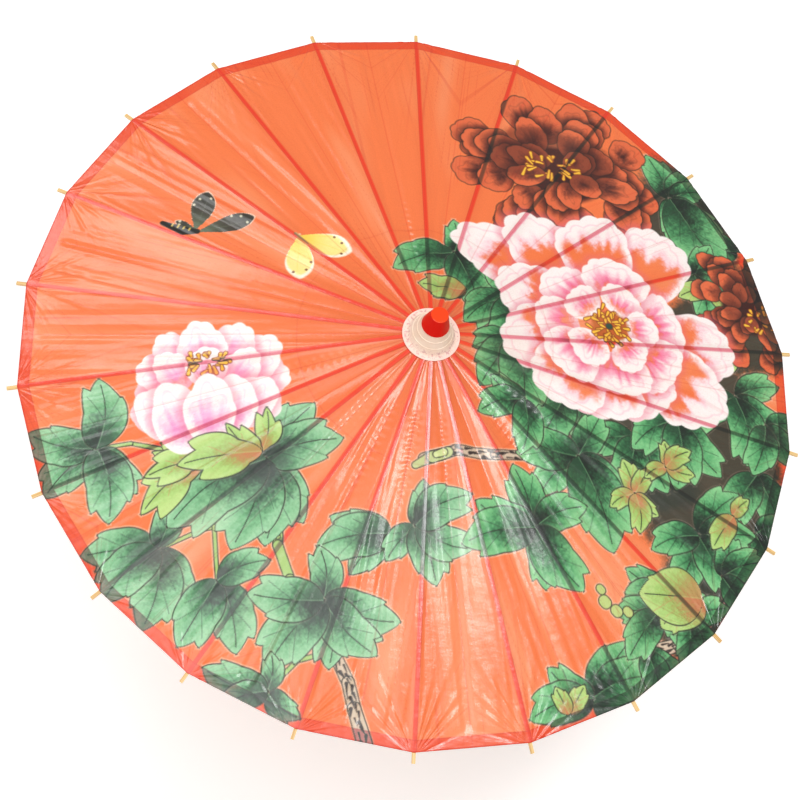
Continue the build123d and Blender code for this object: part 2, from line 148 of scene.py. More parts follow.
hinges = [j for j in frame["record"]["behaviour"]["joints"] if j["name"].startswith("rib_")]
rib_count = len(hinges)
half_panel = pi / rib_count
cover_points = [v.co for v in frame["nodes"]["cover"].data.vertices]
_, cover_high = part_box("cover")
rim_radius = cover_high.x
hole_radius = min(hypot(p.x, p.y) for p in cover_points)
rim_height = max(p.z for p in cover_points if hypot(p.x, p.y) > rim_radius - STRIP_HALF_WIDTH)
cover_slope = (cover_high.z - rim_height) / (rim_radius - hole_radius)
azimuths = [atan2(j["pos_m"][1], j["pos_m"][0]) for j in hinges]


def ring_of(node):
    """Radius, height and half thickness of a thread that runs round in the CAD."""
    low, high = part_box(node)
    half = (high.z - low.z) / 2
    return high.x - half, (low.z + high.z) / 2, half


thread_rings = [ring_of(node) for node in ("joint_thread", "rim_thread")]
thread_radius = thread_rings[0][0]


def linear(colour):
    """sRGB values as linear ones."""
    c = np.asarray(colour, float)
    return np.where(c <= 0.04045, c / 12.92, ((c + 0.055) / 1.055) ** 2.4)


def noise(x, y, seed=0.0):
    """Smooth noise from 0 to 1 over a unit grid."""
    ix, iy = np.floor(x), np.floor(y)
    fx, fy = x - ix, y - iy
    fx, fy = fx * fx * (3 - 2 * fx), fy * fy * (3 - 2 * fy)

    def corner(dx, dy):
        value = np.sin((ix + dx) * 127.1 + (iy + dy) * 311.7 + seed * 74.7) * 43758.5453
        return value - np.floor(value)

    low = corner(0, 0) * (1 - fx) + corner(1, 0) * fx
    high = corner(0, 1) * (1 - fx) + corner(1, 1) * fx
    return low * (1 - fy) + high * fy


def smooth(low, high, value):
    """0 below low, 1 above high, and a smooth step between."""
    t = np.clip((value - low) / (high - low), 0, 1)
    return t * t * (3 - 2 * t)


class Print:
    """The picture on the cover: a colour for every point, painted from the ground up."""

    SOFT = 0.0022  # width of a painted edge
    LINE = 0.0030  # width of an ink outline

    def __init__(self, x, y):
        self.x, self.y = x, y
        self.colour = np.tile(np.array(GROUND), (len(x), 1))
        self.painted = np.zeros(len(x))
        self.petals = np.zeros(len(x))  # where a petal lies, so that the next one shades it
        layers = ((250, 1), (110, 3), (33, 2))
        fine, middling, broad = (noise(x * scale, y * scale, seed) for scale, seed in layers)
        self.grain = fine * 0.45 + middling * 0.35 + broad * 0.2

    def near(self, centre, reach):
        return np.nonzero((abs(self.x - centre[0]) < reach) & (abs(self.y - centre[1]) < reach))[0]

    def axes(self, at, base, turn):
        """Distances of some points along and across a direction from a base point."""
        dx, dy = self.x[at] - base[0], self.y[at] - base[1]
        c, s = cos(radians(turn)), sin(radians(turn))
        return dx * c + dy * s, dy * c - dx * s

    def cover(self, distance):
        """How much paint lies on points this far outside an outline."""
        return np.clip(0.5 - distance / self.SOFT, 0, 1)

    def lay(self, at, colour, share):
        share = np.clip(share, 0, 1)
        self.painted[at] = np.maximum(self.painted[at], share)
        self.colour[at] = self.colour[at] * (1 - share[:, None]) + np.asarray(colour) * share[:, None]

    def bare(self, at, share):
        """Wipes paint off again, down to the cloth."""
        share = np.clip(share, 0, 1)
        self.painted[at] = self.painted[at] * (1 - share)
        self.colour[at] = self.colour[at] * (1 - share[:, None]) + np.array(GROUND) * share[:, None]

    def wash(self, centre, reach, turn, colour, strength, ragged=0.35):
        """A soft cloud of thin paint. reach is its length and its width."""
        at = self.near(centre, 1.4 * max(reach))
        a, c = self.axes(at, centre, turn)
        rough = noise(self.x[at] * 9, self.y[at] * 9, 5) * ragged + self.grain[at] * 0.15
        inside = 1 - np.hypot(a / reach[0], c / reach[1]) + rough - 0.2
        self.lay(at, colour, smooth(0.0, 0.25, inside) * strength)

    def stroke(self, points, widths, colour, edge=INK, halo=0.6):
        """A brush line through points, with a width at each, outlined unless edge is None."""
        for (p, q), (wp, wq) in zip(zip(points, points[1:]), zip(widths, widths[1:])):
            length = hypot(q[0] - p[0], q[1] - p[1])
            middle = ((p[0] + q[0]) / 2, (p[1] + q[1]) / 2)
            at = self.near(middle, length / 2 + max(wp, wq) + 0.02)
            a, c = self.axes(at, p, atan2(q[1] - p[1], q[0] - p[0]) * 180 / pi)
            share = np.clip(a / length, 0, 1)
            d = np.hypot(a - share * length, c) - (wp + (wq - wp) * share) / 2
            if edge is not None:
                self.lay(at, HALO, self.cover(d - 1.8 * self.LINE) * halo * (1 - self.painted[at]))
                self.lay(at, edge, self.cover(d - 0.8 * self.LINE))
            self.lay(at, colour, self.cover(d))

    def bark(self, points, widths, flecks):
        """A pale branch with dark flecks along it."""
        self.stroke(points, widths, PALE_BARK)
        for n in range(flecks):
            place = (n + 0.5) / flecks * (len(points) - 1)
            (px, py), (qx, qy) = points[int(place)], points[int(place) + 1]
            share = place - int(place)
            x, y = px + (qx - px) * share, py + (qy - py) * share
            length = hypot(qx - px, qy - py)
            ax, ay = (qx - px) / length, (qy - py) / length
            aside = 0.32 * widths[0] * sin(n * 2.6)
            start = (x - ay * aside, y + ax * aside)
            end = (start[0] + 0.018 * (ax + 0.3 * ay * sin(n)), start[1] + 0.018 * (ay - 0.3 * ax * sin(n)))
            self.stroke((start, end), (0.007 + 0.003 * sin(n * 1.9), 0.002), BARK, None)

    def blade(self, a, c, length, width):
        """Signed distance to a pointed blade that starts at the origin and runs along a."""
        u = np.clip(a / length, 0, 1)
        half = width * np.sin(pi * u**0.78) ** 0.72
        return np.maximum(abs(c) - half, np.maximum(-a, a - length)) * 0.8

    def lobe(self, base, turn, size, light, mid, dark, width=0.29):
        """A leaflet: a broad blade with two soft teeth, shaded from its root, with veins and an outline."""
        at = self.near(base, 1.25 * size)
        a, c = self.axes(at, base, turn)
        c = c - 0.10 * size * np.sin(pi * np.clip(a / size, 0, 1)) * sin(radians(3 * turn))
        d = self.blade(a, c, size, width * size)
        for side in (-1, 1):
            start, lean = (0.16 + 0.08 * side * sin(turn)) * size, 0.36
            ta = (a - start) * cos(lean) + side * c * sin(lean)
            tc = side * c * cos(lean) - (a - start) * sin(lean)
            d = np.minimum(d, self.blade(ta, tc, 0.68 * size, 0.17 * size))
        u, v = a / size, abs(c) / (width * size)
        speckle = self.grain[at] - 0.5
        bright = smooth(0.25, 1.0, 0.75 * u + 0.35 * v + 0.35 * speckle)[:, None]
        tone = np.array(mid) + (np.array(light) - np.array(mid)) * bright
        shadow = smooth(0.78, 0.12, u + 0.30 * v + 0.42 * speckle) * np.where(c > 0, 0.95, 0.68)
        self.lay(at, HALO, self.cover(d - 1.7 * self.LINE) * 0.55 * (1 - 0.75 * self.painted[at]))
        self.lay(at, INK, self.cover(d - 0.8 * self.LINE) * 0.9)
        fill = self.cover(d)
        self.lay(at, tone, fill)
        self.lay(at, dark, fill * shadow)
        for slant, begin in ((0.75, 0.18), (0.62, 0.40)):
            vein = abs(abs(c) - (a - begin * size) * slant) * 0.8
            on = (a > begin * size) & (abs(c) < 0.75 * width * size)
            self.lay(at, dark, fill * on * np.clip(1.2 - vein / 0.0014, 0, 1) * 0.45)
        midrib = np.clip(1.3 - abs(c) / 0.0016, 0, 1) * (a < 0.92 * size) * (a > 0)
        self.lay(at, INK, fill * midrib * smooth(0.3, 0.5, u) * 0.85)
        self.lay(at, light, fill * midrib * smooth(0.5, 0.3, u) * 0.45)

    def leaf(self, tones, base, *leaflets, width=0.29):
        """Leaflets round one point, each a direction in degrees and a size. The first lies lowest."""
        for turn, size in leaflets:
            self.lobe(base, turn, size, width=width, **tones)

    def petal(self, base, turn, length, width, rim, heart, gap, scallops, phase, ink=0.0):
        """A ruffled petal, pale at its rim, darker to its heart, and bare cloth up to gap of its length."""
        at = self.near(base, 1.35 * length)
        a, c = self.axes(at, base, turn)
        centre, half = 0.56 * length, 0.46 * length
        around = np.arctan2(c / width, (a - centre) / half)
        front = smooth(-0.3, 0.4, np.cos(around))
        ruffle = 1 + 0.08 * front * abs(np.sin(around * scallops + phase))
        ruffle += 0.07 * front * np.sin(around * 3 + 2 * phase)
        d = (np.hypot((a - centre) / half, c / width) - ruffle) * min(half, width) * 0.9
        u = a / length + 0.04 * np.sin(c / length * 30 + phase)
        speckle = self.grain[at] - 0.5
        streak = 0.20 * noise(np.arctan2(c, a + 0.001) * 12, u * 1.5, phase) - 0.08 + 0.14 * speckle
        shade = smooth(0.022, 0.0, d) * (d > 0) * self.petals[at]
        self.lay(at, RUSSET_DARK if ink else SHADE_PINK, shade * (0.55 if ink else 0.38))
        if ink:
            self.lay(at, INK, self.cover(d - 0.7 * self.LINE) * ink)
        fill = self.cover(d)
        deep = smooth(0.004, 0.035, -d + 0.02 * speckle)
        self.petals[at] = np.maximum(self.petals[at], fill)
        self.lay(at, rim, fill)
        self.lay(at, heart, fill * deep * smooth(0.88, 0.38, u + streak) * 0.95)
        if gap > 0:
            self.bare(at, fill * deep * smooth(gap + 0.10, gap - 0.04, u + 0.8 * streak))
        fold = np.exp(-(((d + 0.020 + 0.006 * np.sin(around * 5 + phase)) / 0.0022) ** 2)) * front
        self.lay(at, heart, fill * fold * 0.18)

    def petals_at(self, heart, gap, scallops, *places):
        """White petals, each (x, y, direction, length, width). The first lies lowest."""
        for x, y, turn, length, width in places:
            self.petal((x, y), turn, length, width, PETAL_WHITE, heart, gap, scallops, turn)

    def flower(self, centre, reach, rings, rim, heart, gap, seed, squash=1.0, ink=0.0):
        """Rings of petals, the outer ones first: (count, distance, length, width), each a share of reach."""
        at = self.near(centre, 0.5 * reach)
        away = np.hypot(self.x[at] - centre[0], (self.y[at] - centre[1]) / squash)
        self.lay(at, heart, smooth(0.5 * reach, 0.4 * reach, away))
        for ring, (count, out, long, wide) in enumerate(rings):
            for n in range(count):
                wobble = sin(seed * 7.3 + n * 2.1 + ring * 1.7)
                angle = 360 / count * (n + 0.5 * (ring % 2)) + 14 * wobble
                away = reach * out * (1 + 0.10 * wobble)
                base = (
                    centre[0] + away * cos(radians(angle)),
                    centre[1] + away * sin(radians(angle)) * squash,
                )
                turn = angle + 18 * sin(seed + n * 3.7 + ring)
                length = reach * long * (1 + 0.14 * sin(seed * 3 + n * 5.1))
                scallops = 3 + (n + ring) % 3
                self.petal(base, turn, length, reach * wide, rim, heart, gap, scallops, seed + n, ink)

    def stamens(self, centre, reach, counts, flat=1.0, core=True):
        """Short strokes in rings of the given counts, the outer ring first."""
        for ring, count in enumerate(counts):
            far = reach * (1 - 0.32 * ring)
            for n in range(count):
                angle = 2 * pi * (n + 0.5 * ring) / count + 0.25 * sin(n * 2.7 + ring)
                out = far * (0.78 + 0.22 * sin(n * 4.1 + ring))
                root = (centre[0] + out * cos(angle), centre[1] + out * sin(angle) * flat)
                lean = angle + 0.9 * sin(n * 3.3 + ring * 2)
                size = 0.26 * reach * (1.1 + 0.3 * sin(n * 5.7))
                tip = (root[0] + size * cos(lean), root[1] + size * sin(lean))
                self.stroke((root, tip), (0.004, 0.008), STAMEN, STAMEN_EDGE, 0.0)
        if core:
            end = (centre[0] + 0.001, centre[1])
            self.stroke((centre, end), (0.018, 0.018), PISTIL, STAMEN_EDGE, 0.0)

    def wing(self, base, turn, length, spread, colour, heart, rim, spot):
        """A butterfly's wing: a fan, spread some degrees each way, with a scalloped edge, veins and dots."""
        at = self.near(base, 1.2 * length)
        a, c = self.axes(at, base, turn)
        angle, away = np.arctan2(c, a), np.hypot(a, c)
        fan = np.cos(np.clip(angle / radians(spread), -1, 1) * pi / 2) ** 0.38
        d = (away - length * fan * (1 - 0.05 * abs(np.sin(angle * 7)))) * 0.85
        self.lay(at, HALO, self.cover(d - 0.9 * self.LINE) * 0.9)
        fill = self.cover(d)
        self.lay(at, rim, fill)
        self.lay(at, colour, fill * smooth(-0.004, -0.012, d))
        self.lay(at, heart, fill * smooth(0.65, 0.05, away / length) * 0.85)
        veins = smooth(0.16, 0.0, abs(np.sin(angle * 8 + 0.4))) * smooth(1.0, 0.5, away / length)
        self.lay(at, heart, fill * veins * 0.6)
        for far, lean in ((0.80, 0.30), (0.86, -0.25), (0.66, 0.62)):
            tilt = lean * radians(spread)
            dot = np.hypot(a - far * length * cos(tilt), c - far * length * sin(tilt)) - 0.0035
            self.lay(at, spot, self.cover(dot) * 0.9)


def paint(x, y):
    """The whole print: washes, far leaves, branches, near leaves, flowers and butterflies."""
    art = Print(x, y)
    for centre, reach, turn in (
        ((0.76, 0.46), (0.26, 0.14), 105),
        ((0.74, -0.26), (0.38, 0.22), 95),
        ((0.48, -0.24), (0.26, 0.13), 160),
        ((0.66, -0.62), (0.15, 0.12), 60),
        ((0.20, 0.16), (0.17, 0.09), 60),
        ((0.28, -0.06), (0.14, 0.07), 110),
        ((0.86, 0.16), (0.14, 0.22), 90),
    ):
        art.wash(centre, reach, turn, WASH, 0.92)

    art.stroke(
        ((-0.40, -0.28), (-0.37, -0.43), (-0.37, -0.52), (-0.34, -0.60), (-0.28, -0.70), (-0.23, -0.78)),
        (0.016, 0.02, 0.022, 0.022, 0.024, 0.028),
        STEM,
    )
    art.bark(
        ((-0.235, -0.77), (-0.20, -0.84), (-0.185, -0.90), (-0.16, -0.98)),
        (0.026, 0.028, 0.030, 0.034),
        22,
    )
    for points, widths in (
        (((-0.37, -0.50), (-0.46, -0.46), (-0.55, -0.48), (-0.64, -0.52)), (0.010, 0.008, 0.008, 0.007)),
        (((-0.52, -0.47), (-0.51, -0.60)), (0.008, 0.007)),
        (((-0.24, -0.77), (-0.32, -0.79), (-0.39, -0.86)), (0.010, 0.009, 0.007)),
        (((-0.56, -0.32), (-0.64, -0.28), (-0.72, -0.26), (-0.80, -0.27)), (0.010, 0.009, 0.008, 0.007)),
    ):
        art.stroke(points, widths, STEM)
    art.bark(
        ((-0.02, -0.31), (0.06, -0.285), (0.16, -0.29), (0.26, -0.28), (0.36, -0.29)),
        (0.026, 0.024, 0.022, 0.020, 0.016),
        34,
    )
    art.stroke(((-0.04, -0.325), (0.00, -0.305), (0.04, -0.290)), (0.016, 0.026, 0.024), (0.78, 0.84, 0.58))
    art.stroke(((0.01, -0.298), (0.03, -0.290)), (0.014, 0.018), (0.84, 0.90, 0.62))
    art.bark(((0.56, -0.74), (0.63, -0.72), (0.69, -0.68), (0.78, -0.60)), (0.034, 0.030, 0.026, 0.022), 26)

    for base, *leaflets in (
        ((-0.80, -0.27), (310, 0.15), (225, 0.17), (165, 0.17), (280, 0.19), (90, 0.18)),
        ((-0.65, -0.52), (290, 0.16), (185, 0.18), (260, 0.20), (225, 0.18), (80, 0.12)),
        ((-0.51, -0.60), (285, 0.18), (240, 0.18), (20, 0.13)),
        ((-0.40, -0.31), (300, 0.18), (270, 0.21), (50, 0.18), (15, 0.19), (250, 0.23), (215, 0.28)),
        ((-0.10, -0.49), (225, 0.14), (165, 0.15), (190, 0.18)),
        ((-0.26, -0.65), (275, 0.16), (95, 0.13), (345, 0.19), (315, 0.18), (230, 0.21), (175, 0.18)),
        ((-0.04, -0.47), (230, 0.11), (290, 0.15), (80, 0.11), (340, 0.15), (30, 0.16)),
        ((-0.39, -0.86), (320, 0.10), (85, 0.09), (160, 0.16), (200, 0.11)),
    ):
        art.leaf(MISTY, base, *leaflets)
    for base, *leaflets in (
        ((0.36, -0.10), (290, 0.17), (200, 0.16), (240, 0.19)),
        ((0.54, -0.20), (300, 0.16), (200, 0.15), (250, 0.17)),
        ((0.38, -0.27), (225, 0.15), (60, 0.14), (165, 0.18), (320, 0.22), (290, 0.25)),
        ((0.26, -0.46), (110, 0.16), (25, 0.15), (160, 0.16), (280, 0.15), (310, 0.19), (195, 0.19)),
        ((0.84, -0.05), (20, 0.14), (330, 0.17), (215, 0.18), (275, 0.19)),
        ((0.66, -0.14), (215, 0.16), (310, 0.18), (265, 0.19)),
        ((0.88, -0.26), (320, 0.12), (290, 0.17), (235, 0.17)),
        ((0.92, -0.12), (10, 0.10), (320, 0.14), (250, 0.15)),
        ((0.86, -0.42), (20, 0.10), (250, 0.14), (290, 0.12)),
        ((0.90, 0.40), (150, 0.14), (60, 0.08), (200, 0.12)),
        ((0.70, -0.44), (45, 0.17), (5, 0.16), (245, 0.16), (300, 0.16), (200, 0.14)),
        ((0.60, -0.58), (160, 0.11), (340, 0.13), (215, 0.14), (285, 0.16)),
        ((0.40, -0.86), (340, 0.12), (55, 0.17), (20, 0.18), (150, 0.13), (200, 0.17)),
        ((0.54, -0.74), (330, 0.14), (290, 0.13)),
        ((0.58, -0.64), (185, 0.12), (235, 0.15)),
        ((0.76, -0.54), (80, 0.12), (20, 0.14), (320, 0.13)),
        ((0.66, -0.66), (20, 0.12), (320, 0.12), (260, 0.12)),
        ((0.72, 0.54), (110, 0.15), (50, 0.13), (20, 0.12), (330, 0.17), (265, 0.16), (300, 0.27)),
        ((0.76, 0.30), (60, 0.12), (200, 0.13), (330, 0.13), (280, 0.14)),
        ((0.08, 0.26), (85, 0.11), (200, 0.17), (320, 0.16), (285, 0.19)),
        ((0.22, 0.14), (120, 0.10), (215, 0.16), (255, 0.18)),
        ((0.22, 0.02), (200, 0.12), (235, 0.17), (270, 0.22)),
        ((0.24, -0.14), (150, 0.10), (200, 0.13), (265, 0.14)),
    ):
        art.leaf(DEEP, base, *leaflets)
    for base, *leaflets in (
        ((0.10, 0.145), (200, 0.09), (175, 0.12)),
        ((0.53, -0.35), (110, 0.09), (60, 0.08), (210, 0.08), (320, 0.08), (275, 0.10)),
        ((0.62, -0.27), (90, 0.07), (210, 0.07), (350, 0.08), (35, 0.09)),
        ((0.80, -0.38), (45, 0.07), (235, 0.11)),
        ((0.80, 0.26), (330, 0.08), (200, 0.10)),
        ((0.84, 0.10), (100, 0.09), (250, 0.10), (180, 0.12)),
        ((0.34, -0.90), (60, 0.08), (120, 0.07)),
    ):
        art.leaf(YOUNG, base, *leaflets)
    art.leaf(YOUNG, (0.70, -0.60), (215, 0.14), (180, 0.17), width=0.42)
    art.leaf(YOUNG, (-0.55, -0.31), (168, 0.12), (222, 0.19), (195, 0.14), width=0.17)
    buds = ((0.50, -0.65, 0.022), (0.47, -0.65, 0.026), (0.44, -0.63, 0.028), (0.43, -0.60, 0.020))
    for x, y, size in buds:
        art.stroke(((x, y), (x - 0.004, y + 0.004)), (size, size), BUD)

    far = ((13, 0.64, 0.42, 0.17), (12, 0.46, 0.42, 0.17), (10, 0.28, 0.40, 0.15), (8, 0.10, 0.36, 0.12))
    art.flower((0.40, 0.57), 0.29, far, RUSSET, RUSSET_DARK, -1, 4, 0.70, 0.85)
    art.wash((0.38, 0.62), (0.20, 0.11), 5, RUSSET_DARK, 0.50)
    art.stamens((0.38, 0.59), 0.075, (15, 11), 0.45, False)
    art.flower((0.91, 0.22), 0.17, far, RUSSET, RUSSET_DARK, -1, 6, 1.0, 0.85)
    art.wash((0.90, 0.25), (0.11, 0.07), 80, RUSSET_DARK, 0.40)
    art.stamens((0.94, 0.19), 0.04, (9, 5), 1.0, False)

    art.petals_at(
        PETAL_LILAC, 0.34, 5,
        (-0.61, -0.15, 168, 0.10, 0.050), (-0.47, -0.13, 24, 0.13, 0.050), (-0.59, -0.12, 144, 0.13, 0.055),
        (-0.49, -0.12, 48, 0.16, 0.060), (-0.57, -0.11, 120, 0.15, 0.055), (-0.51, -0.11, 74, 0.16, 0.055),
        (-0.54, -0.11, 98, 0.16, 0.060), (-0.58, -0.13, 126, 0.12, 0.045), (-0.50, -0.13, 54, 0.12, 0.045),
        (-0.54, -0.13, 92, 0.11, 0.050),
    )
    art.stamens((-0.54, -0.055), 0.050, (14, 10), 0.45, False)
    art.petals_at(
        PETAL_LILAC, 0.0, 3,
        (-0.61, -0.23, 138, 0.12, 0.055), (-0.46, -0.22, 50, 0.12, 0.050), (-0.61, -0.27, 116, 0.16, 0.055),
        (-0.46, -0.24, 68, 0.15, 0.050), (-0.49, -0.27, 82, 0.17, 0.055), (-0.58, -0.31, 104, 0.20, 0.062),
        (-0.53, -0.29, 92, 0.19, 0.062),
    )
    art.leaf(YOUNG, (-0.41, -0.29), (84, 0.11), (140, 0.11), (188, 0.20), width=0.18)

    art.petals_at(
        PETAL_PINK, 0.64, 6,
        (0.40, 0.20, 158, 0.32, 0.095), (0.43, 0.17, 126, 0.28, 0.100), (0.56, 0.17, 62, 0.27, 0.100),
        (0.49, 0.18, 96, 0.25, 0.105), (0.56, 0.07, 2, 0.28, 0.095), (0.57, 0.04, 324, 0.26, 0.110),
        (0.42, 0.13, 168, 0.23, 0.095), (0.53, 0.01, 294, 0.16, 0.095), (0.41, 0.08, 202, 0.22, 0.100),
        (0.47, 0.00, 266, 0.16, 0.105), (0.43, 0.03, 234, 0.19, 0.105),
    )
    art.petals_at(
        PETAL_PINK, 0.40, 6,
        (0.44, 0.14, 142, 0.14, 0.080), (0.58, 0.11, 18, 0.12, 0.085), (0.51, 0.16, 82, 0.14, 0.095),
        (0.56, 0.05, 326, 0.13, 0.080), (0.42, 0.09, 184, 0.13, 0.080), (0.50, 0.04, 276, 0.13, 0.090),
        (0.44, 0.06, 222, 0.14, 0.080), (0.46, 0.12, 134, 0.095, 0.055), (0.51, 0.13, 66, 0.095, 0.060),
        (0.53, 0.10, 4, 0.095, 0.055), (0.51, 0.07, 306, 0.095, 0.055), (0.46, 0.08, 236, 0.10, 0.060),
    )
    art.wash((0.49, 0.10), (0.055, 0.05), 0, (0.72, 0.36, 0.12), 0.8)
    art.stamens((0.49, 0.10), 0.052, (19, 14, 9))

    black = ((0.22, 0.22, 0.19), (0.44, 0.50, 0.40), (0.24, 0.24, 0.21), (0.92, 0.92, 0.80))
    art.wing((-0.565, 0.325), 150, 0.06, 20, *black)
    art.wing((-0.57, 0.325), 74, 0.125, 27, *black)
    art.wing((-0.565, 0.32), 17, 0.150, 19, *black)
    body = ((-0.565, 0.322), (-0.60, 0.325), (-0.65, 0.350))
    art.stroke(body, (0.016, 0.026, 0.014), (0.13, 0.13, 0.11), None)
    for n in range(4):
        place = (-0.585 - 0.014 * n, 0.326 + 0.005 * n)
        art.stroke((place, (place[0] + 0.003, place[1] + 0.006)), (0.004, 0.004), (0.90, 0.80, 0.40), None)
    yellow = ((1.0, 0.94, 0.58), (0.99, 0.85, 0.30), (1.0, 0.99, 0.90), (0.45, 0.25, 0.15))
    art.wing((-0.310, 0.305), 268, 0.135, 30, *yellow)
    art.wing((-0.315, 0.300), -20, 0.140, 30, *yellow)
    art.stroke(((-0.320, 0.308), (-0.290, 0.275)), (0.008, 0.003), (0.80, 0.72, 0.50), None)
    return art


def rows_of_cloth():
    """Rows from the hole to the rim and back under the hem, each (radius at the rib, columns, depth)."""
    count = ceil((rim_radius - hole_radius) / CLOTH_STEP)
    rows = []
    for n in range(count + 1):
        radius = hole_radius + (rim_radius - hole_radius) * n / count
        wide = radius * sin(half_panel) - STRIP_HALF_WIDTH
        rows.append((radius, max(1, ceil(wide / CLOTH_STEP)), 0.0))
    columns = rows[-1][1]
    rows.append((rim_radius + HEM_ROLL, columns, HEM_BELOW / 2))
    under = ceil(HEM_WIDTH / (2 * CLOTH_STEP))
    rows += [(rim_radius - HEM_WIDTH * n / under, columns, HEM_BELOW) for n in range(under + 1)]
    return rows


def knit(rows):
    """Triangles between rows whose column counts may differ."""
    faces, start = [], 0
    for (_, m, _), (_, n, _) in zip(rows, rows[1:]):
        low, high = start, start + m + 1
        i = j = 0
        while i < m or j < n:
            if j == n or (i < m and (i + 1) / m <= (j + 1) / n):
                faces.append((low + i, low + i + 1, high + j))
                i += 1
            else:
                faces.append((low + i, high + j + 1, high + j))
                j += 1
        start = high
    return faces


def laid_out(rows, first):
    """Share across, radius and depth of each point in rows, and their faces. Shares run from first to 1."""
    share = np.concatenate([np.linspace(first, 1, columns + 1) for _, columns, _ in rows])
    radius = np.concatenate([np.full(columns + 1, at) for at, columns, _ in rows])
    depth = np.concatenate([np.full(columns + 1, below) for _, columns, below in rows])
    return share, radius, depth, np.array(knit(rows))


def mesh_of(name, points, faces, material):
    """A smooth mesh object from points and triangles."""
    mesh = bpy.data.meshes.new(name)
    mesh.from_pydata(np.asarray(points, float).tolist(), [], np.asarray(faces, int).tolist())
    mesh.polygons.foreach_set("use_smooth", np.ones(len(mesh.polygons), bool))
    mesh.materials.append(material)
    made = bpy.data.objects.new(name, mesh)
    bpy.context.scene.collection.objects.link(made)
    return made


def on_cover(azimuth, radius, aside):
    """Plan points beside a rib: radius out along it, then aside along the straight line to the next rib."""
    turned = azimuth + np.sign(aside) * half_panel
    x = radius * cos(azimuth) - aside * np.sin(turned)
    y = radius * sin(azimuth) + aside * np.cos(turned)
    return x, y


def point_on_cover(azimuth, radius, aside, height):
    """One point of the plan at a height, as plain numbers."""
    return (*(float(v) for v in on_cover(azimuth, radius, aside)), height)


def face_height(radius):
    """Height of the sheet where it is drawn tight."""
    return cover_high.z - (radius - hole_radius) * cover_slope - CLOTH_BELOW_FACE


def tip_axes(radius, aside):
    """Distance from the rib tip, and the angle there from the rib."""
    return np.hypot(rim_radius - radius, aside), np.arctan2(abs(aside), rim_radius - radius + TIP_GAP)


def relief(radius, aside, panel):
    """How far the sheet stands above its tight shape: sag, crease and wrinkles. Zero at the glued strip."""
    middle = radius * sin(half_panel) - abs(aside)  # from the panel's middle
    reach = np.maximum(radius * sin(half_panel) - STRIP_HALF_WIDTH, 1e-6)
    free = np.clip(1 - middle / reach, 0, 1)
    along = (radius - hole_radius) / (rim_radius - hole_radius)
    hem = smooth(rim_radius - HEM_WIDTH - 0.012, rim_radius - HEM_WIDTH, radius)
    hang = -SAG * np.sin(free * pi / 2) * np.sin(pi * np.clip(along, 0, 1)) ** 0.7
    crease = -CREASE_DEPTH * np.exp(-((middle / CREASE_WIDTH) ** 2)) * (1 - hem)
    signed = middle * np.sign(aside)
    long_folds = noise(signed / LONG_FOLD[0], radius / LONG_FOLD[1], panel) - 0.5
    cross_folds = noise(signed / CROSS_FOLD[0] + radius / 0.05, radius / CROSS_FOLD[1], panel + 40) - 0.5
    soft = smooth(STRIP_HALF_WIDTH, STRIP_HALF_WIDTH + 0.004, abs(aside))
    folds = WRINKLE * (1.8 * long_folds + 0.5 * cross_folds) * soft * (1 - 0.75 * hem)
    # ladders of puckers near the cap, in some of the panels
    chosen = smooth(0.55, 0.8, noise(panel, panel, 5))
    ladder = smooth(0.07, 0.09, radius) * smooth(0.20, 0.13, radius) * chosen
    rungs = np.sin(radius * 2 * pi / PUCKER_STEP + 3 * long_folds)
    puckers = PUCKER_HEIGHT * ladder * rungs * np.exp(-((middle / 0.006) ** 2))
    to_tip, from_tip = tip_axes(radius, aside)
    spread = noise(from_tip * 11, to_tip / 0.2, panel + 20) - 0.5
    fan = spread * np.exp(-to_tip / FAN_REACH) * smooth(0, 0.012, to_tip)
    return hang + crease + folds + puckers + FAN_HEIGHT * fan * soft * (1 - free**3) * (1 - 0.5 * hem)


